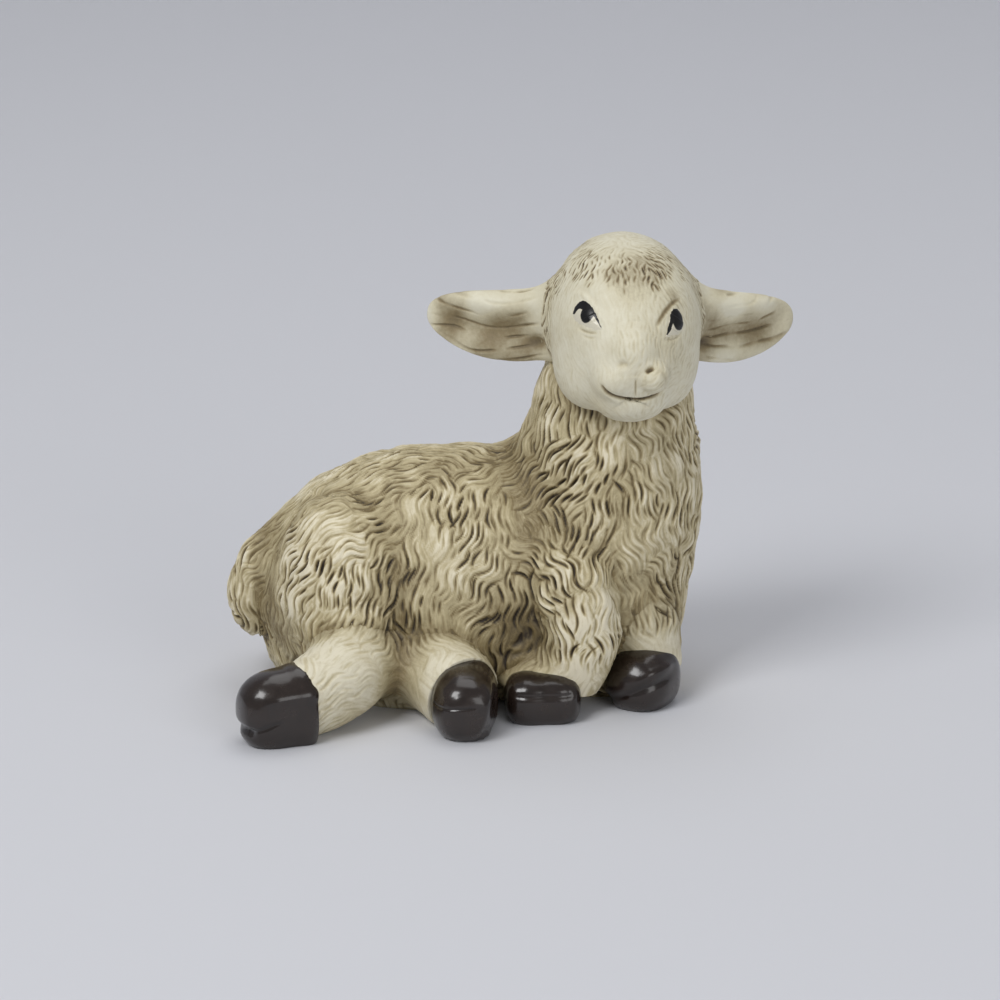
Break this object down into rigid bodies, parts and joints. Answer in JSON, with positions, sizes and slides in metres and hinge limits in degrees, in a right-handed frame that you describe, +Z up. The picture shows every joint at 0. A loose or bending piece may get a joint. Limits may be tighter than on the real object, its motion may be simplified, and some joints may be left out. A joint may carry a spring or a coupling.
{
  "type": "lying lamb figurine",
  "caption": "Small painted lamb ornament lying with its legs folded and its head turned to face the viewer; stands on a flat underside.",
  "frame": {"origin": "centre of the flat underside of the torso, on the surface that the figurine stands on", "axes": "+X from the tail to the chest, -Y towards the display side that the face and hooves point to, +Z up"},
  "size_m": [0.0591, 0.0395, 0.0486],
  "materials": {
    "fleece_paint": "matt ivory paint on cast resin, brown antiquing wash in the carved fleece",
    "face_paint": "matt ivory paint on cast resin, thin brown wash",
    "leg_paint": "matt ivory paint on cast resin, thin brown wash",
    "hoof_enamel": "gloss dark brown enamel",
    "eye_paint": "gloss black paint"
  },
  "bodies": {
    "root": {"torso": "fleece_paint", "chest_and_neck": "fleece_paint", "head": "face_paint", "left_ear": "face_paint", "right_ear": "face_paint", "left_eye": "eye_paint", "right_eye": "eye_paint", "tail": "fleece_paint", "right_haunch": "fleece_paint", "right_hind_shank": "leg_paint", "left_hind_shank": "leg_paint", "right_foreleg": "fleece_paint", "left_foreleg": "leg_paint", "right_hind_hoof": "hoof_enamel", "left_hind_hoof": "hoof_enamel", "right_fore_hoof": "hoof_enamel", "left_fore_hoof": "hoof_enamel"}
  },
  "joints": []
}
